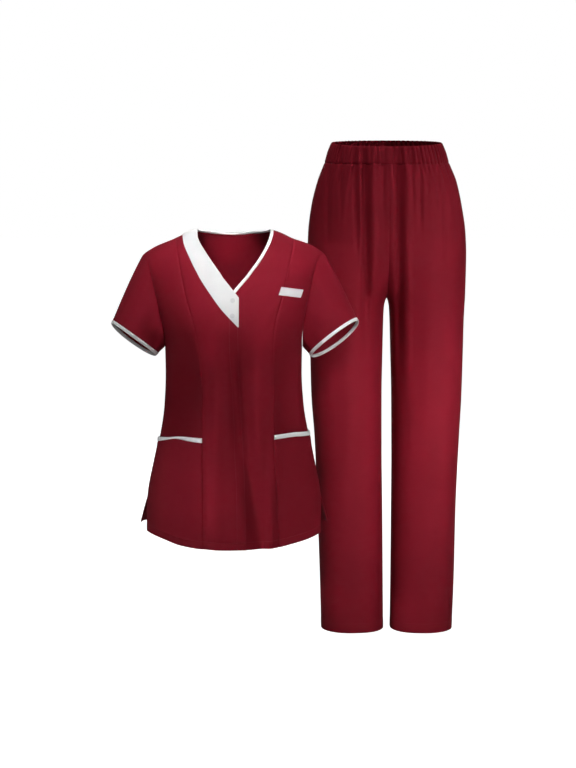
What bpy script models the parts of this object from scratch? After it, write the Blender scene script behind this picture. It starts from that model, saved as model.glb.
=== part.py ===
"""Two-piece medical scrub set: a crossover V-neck top and elastic-waist straight trousers.

Metres, +Z up, front towards -Y, wearer's right towards -X. The origin is the middle of the
neck opening, level with the neck points. Both garments keep the hollow form of the wearer.
"""

import math

import bmesh
import bpy
import numpy as np

# Cloth and sewing
WALL = 0.0015
TRIM = 0.0012
SEAM = 0.0003
LAP = 0.0026
FACET = 0.0002
SUPER = 2.3

# Heights on the top: plain heights up to the chest line, then the way over the shoulder
CHEST = -0.09
SHOULDER = 0.04

# Trims
BINDING = 0.0062
CUFF_BINDING = 0.0066
POCKET_BINDING = 0.0088
SNAP_RADIUS = 0.0048
SNAP_THICK = 0.0018

# Trousers
TROUSERS_MID = 0.18
CROTCH = -0.1440
FRONT_RISE = 0.115
BACK_RISE = 0.15
BAND_GATHERS = 14
BAND_GATHER_DEPTH = 0.0012
HEM_DIP = 0.0012
HIP_GATHERS = 8
HIP_GATHER_DEPTH = 0.0020

RED = (0.22, 0.012, 0.022, 1.0)
WHITE = (0.80, 0.81, 0.82, 1.0)


def table(columns, *rows):
    """Named columns of numbers. The first column rises, and the others are read against it."""
    return dict(zip(columns.split(), np.array(rows, float).T))


def read(rows, column, at):
    """One column of a table as a smooth curve that never overshoots its rows."""
    places = next(iter(rows.values()))
    values = rows[column]
    run = np.diff(places)
    rise = np.diff(values) / run
    total = rise[:-1] + rise[1:]
    product = rise[:-1] * rise[1:]
    inner = np.where(product > 0, 2 * product / np.where(total == 0, 1, total), 0)
    slope = np.concatenate([rise[:1], inner, rise[-1:]])
    at = np.clip(at, places[0], places[-1])
    i = np.clip(np.searchsorted(places, at, side="right") - 1, 0, len(run) - 1)
    t = (at - places[i]) / run[i]
    ends = values[i] * (1 + 2 * t) * (1 - t) ** 2 + values[i + 1] * t * t * (3 - 2 * t)
    return ends + run[i] * t * (1 - t) * (slope[i] * (1 - t) - slope[i + 1] * t)


def ease(value):
    """A soft step from 0 to 1."""
    value = np.clip(value, 0, 1)
    return value * value * (3 - 2 * value)


def hump(value):
    """1 at 0, falling softly to 0 at -1 and 1."""
    return ease(1 - np.abs(value))


# The top's cross-sections: half widths to the wearer's right and left, depths to front and back
BODY = table(
    "height right left front back",
    (-0.640, 0.1790, 0.1830, 0.1200, 0.1170),
    (-0.600, 0.1780, 0.1820, 0.1190, 0.1170),
    (-0.525, 0.1715, 0.1762, 0.1180, 0.1160),
    (-0.465, 0.1595, 0.1650, 0.1150, 0.1110),
    (-0.418, 0.1488, 0.1555, 0.1105, 0.1040),
    (-0.350, 0.1386, 0.1438, 0.1030, 0.0920),
    (-0.285, 0.1356, 0.1398, 0.1015, 0.0900),
    (-0.232, 0.1364, 0.1405, 0.1150, 0.0980),
    (-0.190, 0.1460, 0.1500, 0.1215, 0.1040),
    (-0.150, 0.1570, 0.1600, 0.1165, 0.1080),
    (-0.110, 0.1700, 0.1730, 0.1035, 0.1080),
    (-0.090, 0.1760, 0.1790, 0.0965, 0.1060),
    (-0.025, 0.1836, 0.1875, 0.0760, 0.0985),
    (0.040, 0.1900, 0.1950, 0.0480, 0.0900),
)

# The shoulder ridge, which runs up towards the neck
RIDGE = table(
    "x right left",
    (0.000, 0.0262, 0.0262),
    (0.012, 0.0257, 0.0257),
    (0.027, 0.0227, 0.0227),
    (0.040, 0.0176, 0.0176),
    (0.060, 0.0065, 0.0070),
    (0.080, 0.0015, 0.0036),
    (0.103, -0.0078, -0.0045),
    (0.119, -0.0150, -0.0125),
    (0.153, -0.0290, -0.0245),
    (0.178, -0.0440, -0.0390),
    (0.195, -0.0560, -0.0510),
)

ARMHOLE = table(
    "height right left",
    (-0.232, 0.1362, 0.1405),
    (-0.215, 0.1356, 0.1407),
    (-0.1575, 0.1451, 0.1475),
    (-0.090, 0.1600, 0.1620),
    (-0.045, 0.1665, 0.1700),
    (0.000, 0.1740, 0.1785),
    (0.040, 0.1785, 0.1835),
)

PRINCESS = table(
    "height right left",
    (-0.630, 0.0563, 0.0941),
    (-0.512, 0.0570, 0.0901),
    (-0.408, 0.0587, 0.0843),
    (-0.317, 0.0583, 0.0835),
    (-0.252, 0.0623, 0.0832),
    (-0.196, 0.0705, 0.0850),
    (-0.111, 0.0935, 0.1051),
    (0.000, 0.1120, 0.1235),
    (0.040, 0.1140, 0.1245),
)

# Free front edges, as x. The wearer's right front lies over the left one
NECK_RIGHT = table(
    "height x",
    (-0.1280, 0.0156),
    (-0.1144, 0.0047),
    (-0.1000, -0.0070),
    (-0.0858, -0.0187),
    (-0.0724, -0.0313),
    (-0.0580, -0.0430),
    (-0.0390, -0.0549),
    (-0.0207, -0.0639),
    (-0.0055, -0.0681),
    (0.0400, -0.0704),
)
EDGE_RIGHT = table(
    "height x",
    (-0.630, 0.0295),
    (-0.430, 0.0245),
    (-0.186, 0.0153),
    (-0.128, 0.0156),
)
NECK_LEFT = table(
    "height x",
    (-0.1420, -0.0122),
    (-0.1160, 0.0104),
    (-0.1000, 0.0243),
    (-0.0845, 0.0385),
    (-0.0670, 0.0541),
    (-0.0504, 0.0647),
    (-0.0300, 0.0746),
    (-0.0122, 0.0800),
    (0.0100, 0.0829),
    (0.0400, 0.0832),
)
EDGE_LEFT = table("height x", (-0.630, -0.0120), (-0.142, -0.0122))

# The back neckline: x and the way up to it over the shoulder
NECK_ENDS = np.array([-0.0761, 0.0832])
NECK_BACK = table(
    "x height",
    (-0.0761, 0.0400),
    (-0.0700, 0.0158),
    (-0.0640, 0.0090),
    (-0.0550, -0.0014),
    (-0.0450, -0.0118),
    (-0.0300, -0.0198),
    (-0.0150, -0.0238),
    (0.0020, -0.0248),
    (0.0200, -0.0228),
    (0.0340, -0.0182),
    (0.0480, -0.0096),
    (0.0600, 0.0012),
    (0.0700, 0.0090),
    (0.0770, 0.0150),
    (0.0832, 0.0400),
)
SHOULDER_COLUMNS = 6
NECK_COLUMNS = 8

# The front hem, and how far the back flares past the front below the side vents
HEM = table(
    "x z",
    (-0.175, -0.6019),
    (-0.139, -0.6105),
    (-0.100, -0.6215),
    (-0.056, -0.6268),
    (-0.011, -0.6282),
    (0.030, -0.6280),
    (0.082, -0.6255),
    (0.119, -0.6190),
    (0.150, -0.6130),
    (0.179, -0.6052),
)
VENT = table(
    "height front_turn flare",
    (-0.640, 0.27, 0.0165),
    (-0.600, 0.25, 0.0125),
    (-0.528, 0.00, 0.0000),
)

# Heights of each row of points on the panels' long seams
ROWS = table(
    "row side princess right_edge left_edge",
    (0, -0.603, -0.6245, -0.6275, -0.6275),
    (3, -0.528, -0.5300, -0.5320, -0.5320),
    (7, -0.412, -0.4120, -0.4130, -0.4130),
    (11, -0.305, -0.3020, -0.3000, -0.3000),
    (14, -0.232, -0.2220, -0.2000, -0.2050),
    (17, -0.175, -0.1600, -0.1280, -0.1420),
    (20, -0.090, -0.0850, -0.0600, -0.0700),
    (27, 0.040, 0.0400, 0.0400, 0.0400),
)
VENT_ROW = 3
UNDERARM_ROW = 14
CORNER_ROW = 17
LAST_ROW = 27
ALL_ROWS = np.arange(LAST_ROW + 1.0)

# The neck band, from its pointed foot on the front edge up to the shoulder seam
BAND = table(
    "share inner_height outer_height outer_x",
    (0.000, -0.1835, -0.1845, 0.0138),
    (0.250, -0.1280, -0.1491, -0.0198),
    (0.500, -0.0858, -0.1053, -0.0515),
    (0.625, -0.0640, -0.0830, -0.0658),
    (0.750, -0.0390, -0.0560, -0.0811),
    (0.875, -0.0030, -0.0119, -0.0962),
    (1.000, 0.0400, 0.0400, -0.1005),
)

# Ends of each sleeve's opening and how far its back hangs below its front, as an angle
CUFFS = {
    "right": {"outer": (-0.2420, -0.1785), "inner": (-0.1500, -0.2450), "tilt": 0.20},
    "left": {"outer": (0.2505, -0.1735), "inner": (0.1548, -0.2470), "tilt": 0.25},
}
CUFF_DEPTH = 0.063
CUFF_SAG = 0.004
SLEEVE_ROWS = 7

# How far the side fronts are drawn in between their two long seams
RECESS = table(
    "height right left",
    (-0.640, 0.0000, 0.0000),
    (-0.530, 0.0030, 0.0030),
    (-0.450, 0.0120, 0.0120),
    (-0.405, 0.0190, 0.0190),
    (-0.330, 0.0220, 0.0220),
    (-0.290, 0.0150, 0.0150),
    (-0.250, 0.0000, 0.0000),
    (-0.100, 0.0000, 0.0000),
)

# Soft folds of the top's front: troughs have negative depth. A low onset lets one grow all its way down
FRONT_FOLDS = table(
    "x_top z_top x_foot z_foot half_width onset depth",
    (-0.002, -0.200, 0.078, -0.900, 0.030, 1.0, -0.0200),
    (0.084, -0.330, 0.058, -0.900, 0.017, 1.0, 0.0120),
    (-0.030, -0.260, -0.030, -0.900, 0.022, 1.0, 0.0050),
    (-0.112, -0.420, -0.130, -0.900, 0.022, 1.0, -0.0060),
    (0.130, -0.420, 0.165, -0.900, 0.024, 1.0, -0.0070),
)


def fold_depth(folds, x, z):
    """Sum of the folds at a point, each of them running between its two ends."""
    total = np.zeros(np.broadcast(x, z).shape)
    for x_top, z_top, x_foot, z_foot, half_width, onset, depth in zip(*folds.values()):
        run = x_foot - x_top
        drop = z_foot - z_top
        length = math.hypot(run, drop)
        along = ((x - x_top) * run + (z - z_top) * drop) / length**2
        aside = ((x - x_top) * drop - (z - z_top) * run) / length
        total = total + depth * ease(along * onset) * ease((1 - along) * 3) * hump(aside / half_width)
    return total


def recess(x, height):
    """How far a side front is drawn in at a point of it."""
    sides = []
    for side in ("right", "left"):
        inner = read(PRINCESS, side, height)
        half = (read(BODY, side, height) - inner) / 2
        share = (np.abs(x) - inner - half) / half
        sides.append(read(RECESS, side, height) * np.clip(1 - share**2, 0, 1))
    return np.where(x < 0, *sides)


def power(value):
    """The cross-section's roundness: a circle's sine or cosine, a little squarer."""
    return np.sign(value) * np.abs(value) ** (2 / SUPER)


def body_point(face, turn, height):
    """A point of the top. face is -1 in front and 1 behind; turn goes from 0 at the wearer's
    right side to pi at the left side."""
    across = power(np.cos(turn))
    half = np.where(across > 0, read(BODY, "right", height), read(BODY, "left", height))
    depth = read(BODY, "front" if face < 0 else "back", height)
    if face > 0:
        half = half + read(VENT, "flare", height)
    x = -half * across
    bend = math.pi / 2 * np.clip((height - CHEST) / (SHOULDER - CHEST), 0, 1)
    z = CHEST + np.minimum(height - CHEST, 0)
    ridge = np.where(x < 0, read(RIDGE, "right", np.abs(x)), read(RIDGE, "left", np.abs(x)))
    z = z + (ridge - CHEST) * np.sin(bend)
    if face < 0:
        depth = depth + fold_depth(FRONT_FOLDS, x, z) - recess(x, height)
    y = face * depth * power(np.sin(turn)) * np.cos(bend)
    return np.stack(np.broadcast_arrays(x, y, z), axis=-1)


def body_turn(x, height):
    """The turn at which the top's section passes x."""
    half = np.where(x < 0, read(BODY, "right", height), read(BODY, "left", height))
    share = np.clip(np.abs(x) / half, 0, 1) ** (SUPER / 2)
    return np.arccos(-np.sign(x) * share)


def normals(surface, a, b, outward):
    """Unit normals of a surface function of two parameters, facing the way outward gives."""
    step = 1e-4
    across = surface(a + step, b) - surface(a - step, b)
    along = surface(a, b + step) - surface(a, b - step)
    normal = np.cross(across, along)
    normal /= np.maximum(np.linalg.norm(normal, axis=-1, keepdims=True), 1e-15)
    return normal * np.where((normal * outward).sum(-1, keepdims=True) < 0, -1, 1)


def body_skins(face, turn, height, lift=0.0, wall=WALL):
    """Outer and inner points of a piece of the top, lifted off the cloth's own surface."""
    outer = body_point(face, turn, height)
    outward = outer - np.array([0.0, 0.0, -0.35])
    normal = normals(lambda t, h: body_point(face, t, h), turn, height, outward)
    outer = outer + normal * np.asarray(lift)[..., None]
    return outer, outer - normal * wall


def sheet(name, outer, inner, colour, collection, roughness=0.8):
    """One closed wall between two grids of points, drawn in by half a seam at its four edges."""
    outer = outer.copy()
    inner = inner.copy()
    for first, second in ((0, 1), (-1, -2)):
        for edge, beside in (((first,), (second,)), ((slice(None), first), (slice(None), second))):
            move = outer[beside] - outer[edge]
            move *= SEAM / 2 / np.linalg.norm(move, axis=-1, keepdims=True)
            outer[edge] += move
            inner[edge] += move
    rows, columns = outer.shape[:2]
    bm = bmesh.new()
    bmesh.ops.create_grid(bm, x_segments=columns - 1, y_segments=rows - 1, size=1.0)
    lower = bmesh.ops.extrude_face_region(bm, geom=bm.faces[:])["geom"]
    lower = [item for item in lower if isinstance(item, bmesh.types.BMVert)]
    bmesh.ops.translate(bm, vec=(0, 0, -1), verts=lower)
    for vert in bm.verts:
        row = round((vert.co.y + 1) / 2 * (rows - 1))
        column = round((vert.co.x + 1) / 2 * (columns - 1))
        skin = outer if vert.co.z > -0.5 else inner
        vert.co = skin[row, column]
    return solid(name, bm, colour, collection, roughness)


def solid(name, bm, colour, collection, roughness=0.8):
    """A finished mesh object, facing outwards, with its own material."""
    if bm.calc_volume(signed=True) < 0:
        bmesh.ops.reverse_faces(bm, faces=bm.faces)
    mesh = bpy.data.meshes.new(name)
    bm.to_mesh(mesh)
    bm.free()
    mesh.shade_smooth()
    material = bpy.data.materials.new(name)
    material.use_nodes = True
    shader = material.node_tree.nodes["Principled BSDF"]
    shader.inputs["Base Color"].default_value = colour
    shader.inputs["Roughness"].default_value = roughness
    shader.inputs["Metallic"].default_value = 0.0
    mesh.materials.append(material)
    made = bpy.data.objects.new(name, mesh)
    collection.objects.link(made)
    return made


def between(start, end, columns):
    """Rows of values that run evenly from one column of ends to the other."""
    share = np.linspace(0, 1, columns)
    return start[:, None] + (end - start)[:, None] * share


def side_ends(side, rows):
    """Turn and height along a front's side seam, vent and armhole."""
    height = read(ROWS, "side", rows)
    sign = -1 if side == "right" else 1
    armhole = body_turn(sign * read(ARMHOLE, side, height), height)
    vent = read(VENT, "front_turn", height)
    if side == "left":
        vent = math.pi - vent
    turn = np.where(rows > UNDERARM_ROW, armhole, vent)
    return turn, height


def princess_ends(side, rows):
    """Turn and height along a princess seam, which runs from the shoulder to the hem."""
    height = read(ROWS, "princess", rows)
    sign = -1 if side == "right" else 1
    return body_turn(sign * read(PRINCESS, side, height), height), height


def edge_ends(side, rows):
    """Turn and height along a front's free edge, up its neckline to the shoulder."""
    height = read(ROWS, side + "_edge", rows)
    edge, neck = (EDGE_RIGHT, NECK_RIGHT) if side == "right" else (EDGE_LEFT, NECK_LEFT)
    x = np.where(rows >= CORNER_ROW, read(neck, "x", height), read(edge, "x", height))
    return body_turn(x, height), height


def hem_heights(turn, height, rows):
    """Heights with the lowest rows brought onto the curved hem."""
    x = body_point(-1, turn[0], height[0])[..., 0]
    error = read(HEM, "z", x) - height[0]
    fade = np.clip(1 - rows / VENT_ROW, 0, 1)
    return height + fade[:, None] * error


def front_grid(side, part, columns, rows=None):
    """Turn and height of the points of a side front or a centre front."""
    rows = ALL_ROWS if rows is None else rows
    princess_turn, princess_height = princess_ends(side, rows)
    ends = side_ends if part == "side" else edge_ends
    end_turn, end_height = ends(side, rows)
    turn = between(end_turn, princess_turn, columns)
    height = between(end_height, princess_height, columns)
    return turn, hem_heights(turn, height, rows)


def right_lift(turn, height):
    """How far the wearer's right front stands off to lie over the left one."""
    x = body_point(-1, turn, height)[..., 0]
    return LAP * ease((x + 0.056) / 0.028)


def build_side_front(side, collection):
    turn, height = front_grid(side, "side", 6)
    outer, inner = body_skins(-1, turn, height)
    sheet(f"front_{side}_side", outer, inner, RED, collection)


def build_centre_front(side, collection):
    turn, height = front_grid(side, "centre", 7)
    lift = right_lift(turn, height) if side == "right" else 0.0
    outer, inner = body_skins(-1, turn, height, lift)
    sheet(f"front_{side}_centre", outer, inner, RED, collection)


def back_grid():
    """Turn and height of the back's points."""
    rows = ALL_ROWS
    right, height = side_ends("right", rows)
    left = side_ends("left", rows)[0]
    right = np.where(rows > UNDERARM_ROW, right, 0.0)
    left = np.where(rows > UNDERARM_ROW, left, math.pi)
    neck = body_turn(NECK_ENDS, np.full(2, SHOULDER))
    top = np.concatenate([
        np.linspace(right[-1], neck[0], SHOULDER_COLUMNS + 1)[:-1],
        np.linspace(neck[0], neck[1], NECK_COLUMNS + 1)[:-1],
        np.linspace(neck[1], left[-1], SHOULDER_COLUMNS + 1),
    ])
    share = (top - top[0]) / (top[-1] - top[0])
    turn = right[:, None] + (left - right)[:, None] * share
    x = body_point(1, top, np.full(len(top), SHOULDER))[..., 0]
    inside = (x > NECK_ENDS[0] + 1e-4) & (x < NECK_ENDS[1] - 1e-4)
    drop = np.where(inside, read(NECK_BACK, "height", x), SHOULDER) - SHOULDER
    rise = np.clip((rows - UNDERARM_ROW) / (LAST_ROW - UNDERARM_ROW), 0, 1)
    dip = -0.018 * np.sin(turn[0]) ** 2
    fall = np.clip(1 - rows / VENT_ROW, 0, 1)
    heights = height[:, None] + rise[:, None] ** 1.5 * drop + fall[:, None] * (dip + 0.010)
    return turn, heights


def build_back(collection):
    turn, height = back_grid()
    outer, inner = body_skins(1, turn, height)
    sheet("back", outer, inner, RED, collection)


def armhole_ring(side):
    """Points and outward normals round an armhole, from the underarm up the front and back down."""
    rows = np.arange(float(UNDERARM_ROW), LAST_ROW + 1)
    turn, height = side_ends(side, rows)
    turn[0] = 0.0 if side == "right" else math.pi
    front = body_skins(-1, turn, height, wall=1.0)
    back = body_skins(1, turn[-2::-1], height[-2::-1], wall=1.0)
    outer = np.concatenate([front[0], back[0]])
    return outer, outer - np.concatenate([front[1], back[1]])


def cuff_ring(side, ring):
    """Points round a sleeve's opening, matched to the armhole's."""
    cuff = CUFFS[side]
    inner = np.array([cuff["inner"][0], 0.0, cuff["inner"][1]])
    outer = np.array([cuff["outer"][0], 0.0, cuff["outer"][1]])
    lengths = np.linalg.norm(np.diff(ring, axis=0), axis=1)
    angle = 2 * math.pi * np.concatenate([[0], np.cumsum(lengths)]) / lengths.sum()
    half = (inner - outer) / 2
    out = np.cross(half, [0, 1, 0])
    out *= -np.sign(out[2]) / np.linalg.norm(out)
    backward = np.array([0, math.cos(cuff["tilt"]), 0]) + out * math.sin(cuff["tilt"])
    sine = np.sin(angle)[:, None]
    points = (inner + outer) / 2 + half * np.cos(angle)[:, None] - backward * CUFF_DEPTH * sine
    return points + out * CUFF_SAG * np.abs(sine)


def sleeve_grid(side, rows=SLEEVE_ROWS):
    """Outer and inner points of a sleeve, a tube whose only seam is under the arm."""
    ring, normal = armhole_ring(side)
    reach = cuff_ring(side, ring) - ring
    length = np.linalg.norm(reach, axis=-1, keepdims=True)
    lift = (reach / length * normal).sum(-1, keepdims=True)
    leave = reach / length - normal * lift * (1 - np.clip(2 * lift, 0, 1))
    leave /= np.linalg.norm(leave, axis=-1, keepdims=True)
    ring = ring + leave * SEAM
    leave = leave * 0.2 + reach / length * 0.8
    share = np.linspace(0, 1, rows)[:, None, None]
    start = share * (1 - share) ** 2 * leave * length
    finish = share**2 * (1 - share) * reach * 0.5
    shape = share**2 * (3 - 2 * share)
    outer = ring + reach * shape + start - finish
    across = np.gradient(outer, axis=1)
    down = np.gradient(outer, axis=0)
    facing = np.cross(across, down)
    facing /= np.linalg.norm(facing, axis=-1, keepdims=True)
    middle = outer.mean(axis=1, keepdims=True)
    facing *= np.where(((outer - middle) * facing).sum() < 0, -1, 1)
    seam = (facing[:, :1] + facing[:, -1:]) / 2
    facing[:, :1] = seam
    facing[:, -1:] = seam
    alike = np.clip(2 * (facing[:1] * normal).sum(-1, keepdims=True), 0, 1)
    facing[:1] += (normal - facing[:1]) * alike
    facing /= np.linalg.norm(facing, axis=-1, keepdims=True)
    return outer, outer - facing * WALL


def build_sleeve(side, collection):
    outer, inner = sleeve_grid(side)
    sheet(f"sleeve_{side}", outer, inner, RED, collection)
    toward = outer[-1] * 2 - outer[-2]
    binding(f"cuff_binding_{side}", outer[-1], inner[-1], CUFF_BINDING, toward, collection)


def binding(name, outer, inner, width, toward, collection):
    """A strip that carries an edge on by its width. toward is a point on its free side. A ring
    closes on itself, and an end on the shoulder seam is cut along that seam."""
    run = np.gradient(outer, axis=0)
    if np.linalg.norm(outer[0] - outer[-1]) < 1e-4:
        run[[0, -1]] = outer[1] - outer[-2]
    way = np.cross(run, outer - inner)
    way *= np.where(np.abs(outer[:, 1:2]) < 1e-4, [1, 0, 1], [1, 1, 1])
    way /= np.linalg.norm(way, axis=-1, keepdims=True)
    way *= np.where((way * (toward - outer)).sum(-1, keepdims=True) < 0, -1, 1)
    share = SEAM / 2 + np.array([0.0, 0.5, 1.0])[:, None, None] * width
    sheet(name, outer + way * share, inner + way * share, WHITE, collection)


def build_neck_bindings(collection):
    """The back's strip and the wearer's left front's, which ends under the right front."""
    turn, height = back_grid()
    neck = slice(SHOULDER_COLUMNS, SHOULDER_COLUMNS + NECK_COLUMNS + 1)
    outer, inner = body_skins(1, turn[-1, neck], height[-1, neck])
    binding("neck_binding_back", outer, inner, BINDING, np.array([0.003, 0.0, 0.05]), collection)
    rows = np.arange(float(CORNER_ROW), LAST_ROW + 1)
    outer, inner = body_skins(-1, *edge_ends("left", rows))
    binding("neck_binding_front", outer, inner, BINDING, np.array([-0.06, -0.05, 0.03]), collection)


def build_neck_band(collection):
    """The broad band down the wearer's right neckline to the crossover, with a pointed foot."""
    rows = np.linspace(0, 1, 22)
    inner_height = read(BAND, "inner_height", rows)
    inner_rows = np.interp(inner_height, read(ROWS, "right_edge", ALL_ROWS), ALL_ROWS)
    inner_turn = edge_ends("right", inner_rows)[0]
    outer_height = read(BAND, "outer_height", rows)
    outer_turn = body_turn(read(BAND, "outer_x", rows), outer_height)
    turn = between(inner_turn, outer_turn, 5)
    height = between(inner_height, outer_height, 5)
    lift = right_lift(turn, height) + SEAM + TRIM + 2 * FACET
    outer, inner = body_skins(-1, turn, height, lift, TRIM)
    sheet("neck_band", outer, inner, WHITE, collection)


def build_pocket(side, collection):
    """A patch pocket that fills the side front from its bound mouth to the hem."""
    mouth = 7.0 if side == "right" else 7.4
    strip = POCKET_BINDING / 0.029
    for name, rows, colour in (
        (f"pocket_{side}", np.append(np.arange(7.0), mouth - strip), RED),
        (f"pocket_binding_{side}", np.array([mouth - strip, mouth - strip / 2, mouth]), WHITE),
    ):
        turn, height = front_grid(side, "side", 6, rows)
        stand = 0.0015 * np.sin(np.linspace(0, math.pi, 6)) * (rows / mouth)[:, None] ** 2
        stand = stand + 0.55 * recess(body_point(-1, turn, height)[..., 0], height)
        lift = SEAM + FACET + TRIM + stand
        outer, inner = body_skins(-1, turn, height, lift, TRIM)
        sheet(name, outer, inner, colour, collection)


def build_chest_tab(collection):
    """A small plain tab sewn flat on the wearer's left chest."""
    lower_left = np.array([0.0935, -0.1225])
    along = np.array([0.0435, -0.0066])
    up = np.array([0.0052, 0.0156])
    s = np.linspace(0, 1, 6)[None, :, None]
    t = np.linspace(0, 1, 2)[:, None, None]
    places = lower_left + along * s + up * t
    turn = body_turn(places[..., 0], places[..., 1])
    outer, inner = body_skins(-1, turn, places[..., 1], SEAM + FACET + TRIM, TRIM)
    sheet("chest_tab", outer, inner, WHITE, collection)


def build_snap(name, x, height, collection):
    """A domed snap cap on the band. It stays fastened."""
    turn = body_turn(np.array([[x]]), np.array([[height]]))
    lift = right_lift(turn, np.array([[height]])) + 2 * SEAM + 2 * FACET + TRIM
    outer, inner = body_skins(-1, turn, np.array([[height]]), lift, 1.0)
    normal = (outer - inner)[0, 0]
    bm = bmesh.new()
    bmesh.ops.create_cone(
        bm, cap_ends=True, segments=20, radius1=SNAP_RADIUS, radius2=SNAP_RADIUS * 0.7,
        depth=SNAP_THICK,
    )
    bmesh.ops.translate(bm, vec=(0, 0, SNAP_THICK / 2), verts=bm.verts)
    sideways = np.cross([0, 0, 1], normal)
    sideways /= np.linalg.norm(sideways)
    upward = np.cross(normal, sideways)
    for vert in bm.verts:
        vert.co = outer[0, 0] + sideways * vert.co.x + upward * vert.co.y + normal * vert.co.z
    solid(name, bm, WHITE, collection, 0.35)


# The trousers: x of both sides and the middle, the gap between the legs, depths
TROUSERS = table(
    "z right left middle gap front back",
    (-0.852, 0.1832, 0.4632, 0.3234, 0.0072, 0.0660, 0.0680),
    (-0.742, 0.1802, 0.4669, 0.3232, 0.0082, 0.0690, 0.0710),
    (-0.596, 0.1748, 0.4692, 0.3226, 0.0094, 0.0720, 0.0750),
    (-0.445, 0.1686, 0.4749, 0.3215, 0.0105, 0.0780, 0.0820),
    (-0.348, 0.1614, 0.4795, 0.3208, 0.0103, 0.0830, 0.0880),
    (-0.255, 0.1588, 0.4816, 0.3202, 0.0084, 0.0880, 0.0950),
    (-0.191, 0.1566, 0.4828, 0.3199, 0.0068, 0.0930, 0.1020),
    (-0.165, 0.1556, 0.4838, 0.3198, 0.0055, 0.0950, 0.1050),
    (-0.150, 0.1550, 0.4846, 0.3198, 0.0030, 0.0965, 0.1075),
    (-0.144, 0.1548, 0.4850, 0.3198, 0.0000, 0.0970, 0.1080),
    (-0.049, 0.1530, 0.4868, 0.3198, 0.0000, 0.1050, 0.1180),
    (-0.006, 0.1543, 0.4848, 0.3197, 0.0000, 0.1070, 0.1190),
    (0.048, 0.1608, 0.4768, 0.3195, 0.0000, 0.1060, 0.1150),
    (0.101, 0.1738, 0.4648, 0.3190, 0.0000, 0.0990, 0.1050),
    (0.139, 0.1880, 0.4494, 0.3185, 0.0000, 0.0920, 0.0960),
    (0.162, 0.1946, 0.4424, 0.3182, 0.0000, 0.0870, 0.0910),
    (0.188, 0.2055, 0.4310, 0.3180, 0.0000, 0.0820, 0.0860),
)

# The waistband's lower seam and upper edge at the front, sides and back
WAIST = table(
    "turn_share seam edge",
    (-1.0, 0.1350, 0.1715),
    (0.0, 0.1388, 0.1815),
    (1.0, 0.1388, 0.1870),
)

LEG_FOLDS = table(
    "x_top z_top x_foot z_foot half_width onset depth",
    (0.1960, 0.200, 0.1930, -0.060, 0.010, 3.0, -0.0030),
    (0.2465, 0.210, 0.2560, -0.050, 0.010, 3.0, -0.0044),
    (0.2780, 0.180, 0.2800, -0.260, 0.016, 3.0, -0.0080),
    (0.3420, 0.200, 0.3500, -0.330, 0.014, 3.0, -0.0090),
    (0.3760, 0.210, 0.3810, 0.000, 0.010, 3.0, -0.0034),
    (0.4350, 0.170, 0.4400, -0.100, 0.014, 3.0, -0.0026),
)


def leg_point(side, face, share, z, in_band=False):
    """A point of the trousers. share goes from 0 at the outseam to 1 at the inner edge: the
    centre seam above the crotch, the inseam below it."""
    rise = FRONT_RISE if face < 0 else BACK_RISE
    above = np.clip((z - CROTCH) / rise, 0, 1)
    reach = math.pi - np.arccos(1 - above)
    turn = reach * share
    way = 1 if side == "right" else -1
    out = read(TROUSERS, side, z)
    inner = read(TROUSERS, "middle", z) - way * (read(TROUSERS, "gap", z) + SEAM / 2)
    half = np.abs(inner - out) / (1 - power(np.cos(reach)))
    x = out + way * half * (1 - power(np.cos(turn)))
    depth = read(TROUSERS, "front" if face < 0 else "back", z)
    fold_x = x if face < 0 else 2 * 0.3195 - x + 0.012
    swell = fold_depth(LEG_FOLDS, fold_x, z) + gather(side, face, share, z, in_band)
    y = TROUSERS_MID + face * (depth + swell) * power(np.sin(turn))
    return np.stack(np.broadcast_arrays(x, y, z), axis=-1)


def gather(side, face, share, z, in_band):
    """Fine gathers round the waistband, or fewer below it that fade out over the hips."""
    place = share if side == "right" else 2 - share
    if in_band:
        turns = place * BAND_GATHERS + 0.2 * np.sin(5.1 * place + face)
        return BAND_GATHER_DEPTH * np.cos(2 * math.pi * turns)
    turns = place * HIP_GATHERS + 0.2 * np.sin(3.7 * place - face)
    return HIP_GATHER_DEPTH * np.exp((z - 0.1388) / 0.035) * np.cos(2 * math.pi * turns)


def leg_skins(side, face, share, z, in_band=False):
    """Outer and inner points of a piece of the trousers."""
    outer = leg_point(side, face, share, z, in_band)
    way = 1 if side == "right" else -1
    middle = np.array([0.3195 - way * 0.07, TROUSERS_MID, 0.0])
    outward = (outer - middle) * np.array([1, 1, 0])
    normal = normals(lambda s, h: leg_point(side, face, s, h, in_band), share, z, outward)
    return outer, outer - normal * WALL


LEG_ROWS = table(
    "row z",
    (0, -0.850),
    (2, -0.610),
    (4, -0.350),
    (6, -0.200),
    (7, CROTCH),
    (9, -0.076),
    (12, 0.030),
    (15, 0.1388),
)


def waist_height(face, share, column):
    """Height of the waistband's seam or edge, lowest at the front."""
    return read(WAIST, column, face * np.sin(math.pi / 2 * share))


def build_leg(side, face, collection):
    """A front or back leg panel, from the waistband's seam to the hem."""
    rows = np.arange(16.0)
    share = np.broadcast_to(np.linspace(0, 1, 25), (16, 25))
    z = np.repeat(read(LEG_ROWS, "z", rows)[:, None], 25, axis=1)
    seam = waist_height(face, share, "seam")
    z = z + (seam - 0.1388) * np.clip((rows - 12) / 3, 0, 1)[:, None]
    z = z + face * HEM_DIP * np.sin(math.pi * share) * np.clip(1 - rows / 2, 0, 1)[:, None]
    outer, inner = leg_skins(side, face, share, z)
    name = "front" if face < 0 else "back"
    sheet(f"leg_{side}_{name}", outer, inner, RED, collection)


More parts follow.
